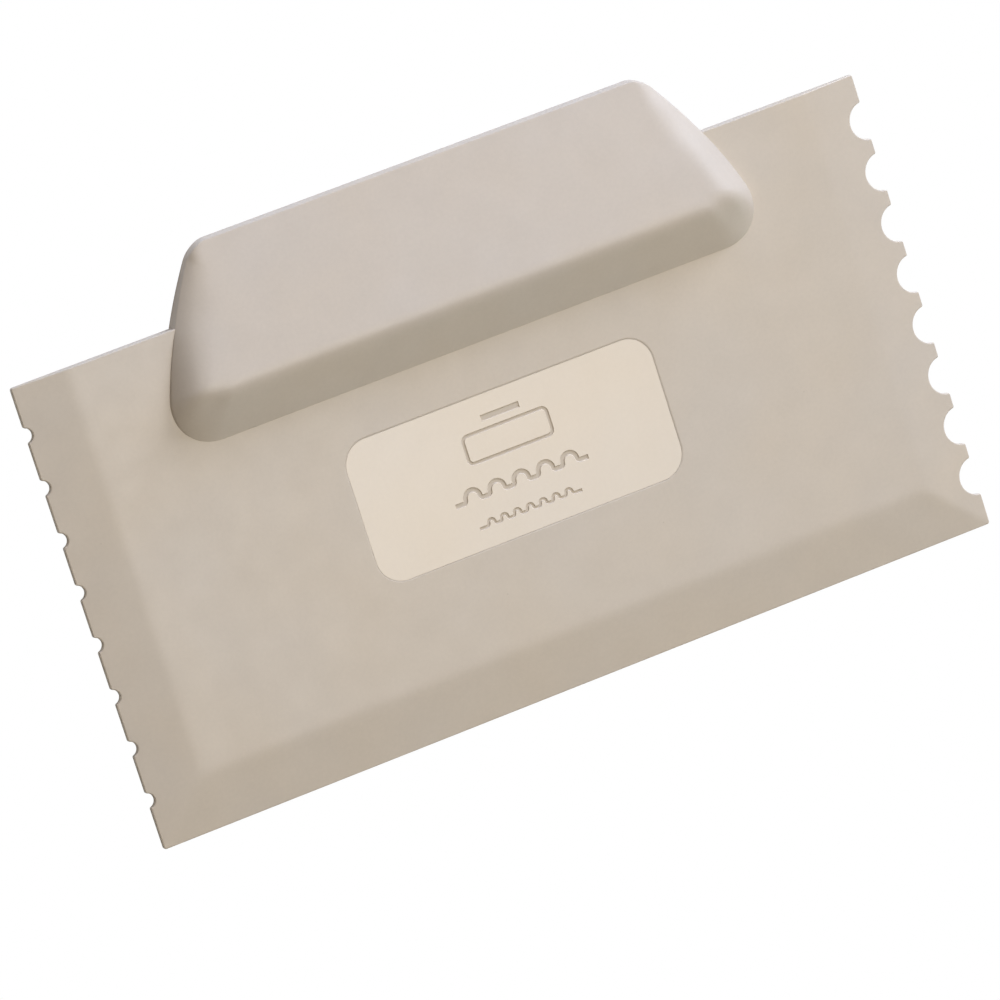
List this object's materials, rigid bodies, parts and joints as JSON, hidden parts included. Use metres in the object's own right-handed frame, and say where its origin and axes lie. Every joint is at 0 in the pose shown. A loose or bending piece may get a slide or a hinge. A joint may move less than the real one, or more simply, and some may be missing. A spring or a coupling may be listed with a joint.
{
  "type": "notched trowel",
  "caption": "Flat rectangular hand tool with coarse round notches along one short side, fine ones along the other, bevelled edges and a wedge grip along one long side.",
  "frame": {"origin": "middle of the blade's flat back face", "axes": "+X along the blade towards the coarse notches, +Y towards the grip, +Z out of the front face"},
  "size_m": [0.22, 0.1325, 0.0106],
  "materials": {
    "blade_composite": "satin moulded composite with a fine grain",
    "grip_composite": "satin moulded composite with a fine grain",
    "label_polished": "polished"
  },
  "bodies": {
    "root": {"blade": "blade_composite", "label_plate": "label_polished", "grip_shell": "grip_composite", "grip_back_cover": "grip_composite"}
  },
  "joints": []
}
